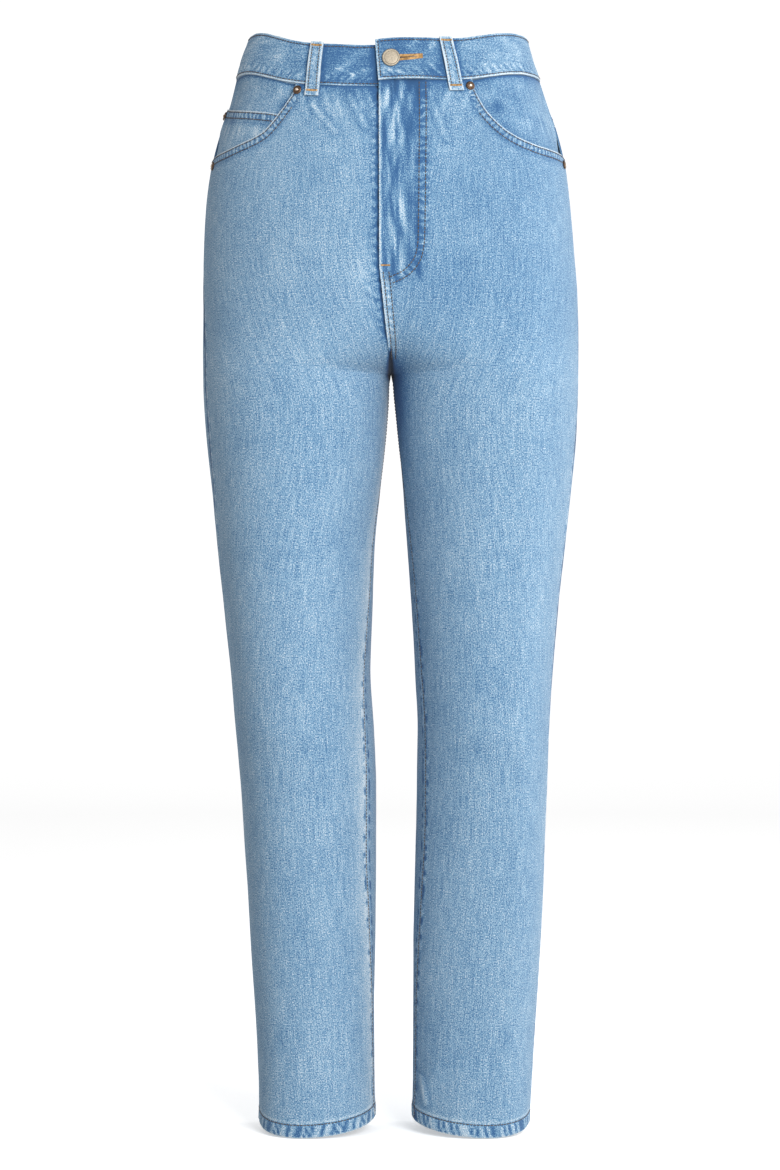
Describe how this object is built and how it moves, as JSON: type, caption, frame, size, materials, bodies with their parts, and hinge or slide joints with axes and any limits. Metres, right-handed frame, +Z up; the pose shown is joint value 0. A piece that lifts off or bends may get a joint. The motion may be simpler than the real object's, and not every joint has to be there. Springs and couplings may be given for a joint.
{
  "type": "mom jeans",
  "caption": "High-rise straight-leg denim mom jeans, filled out as worn, with a buttoned waistband, belt loops, scoop front pockets, a coin pocket, back yokes and patch pockets.",
  "frame": {"origin": "the middle of the waist opening, where the wearer's waist holds the jeans up", "axes": "+Z up, the front faces -Y, the wearer's left side is at +X"},
  "size_m": [0.3376, 0.2562, 0.9884],
  "materials": {
    "denim": "light stonewashed denim",
    "denim_light": "light stonewashed denim, paler with wear",
    "nickel": "dull warm nickel",
    "copper": "dark antique copper"
  },
  "bodies": {
    "root": {"front_right": "denim", "front_left": "denim", "back_right": "denim", "back_left": "denim", "yoke_right": "denim", "yoke_left": "denim", "waistband": "denim", "pocket_facing_right": "denim", "pocket_facing_left": "denim", "fly_shield": "denim", "back_pocket_right": "denim_light", "back_pocket_left": "denim_light", "coin_pocket": "denim_light", "belt_loop_front_right": "denim_light", "belt_loop_front_left": "denim_light", "belt_loop_back_right": "denim_light", "belt_loop_back_left": "denim_light", "belt_loop_centre_back": "denim_light", "button": "nickel", "button_tack": "nickel", "rivet_right_top": "copper", "rivet_left_top": "copper", "rivet_right_side": "copper", "rivet_left_side": "copper", "rivet_coin_pocket": "copper"}
  },
  "joints": []
}
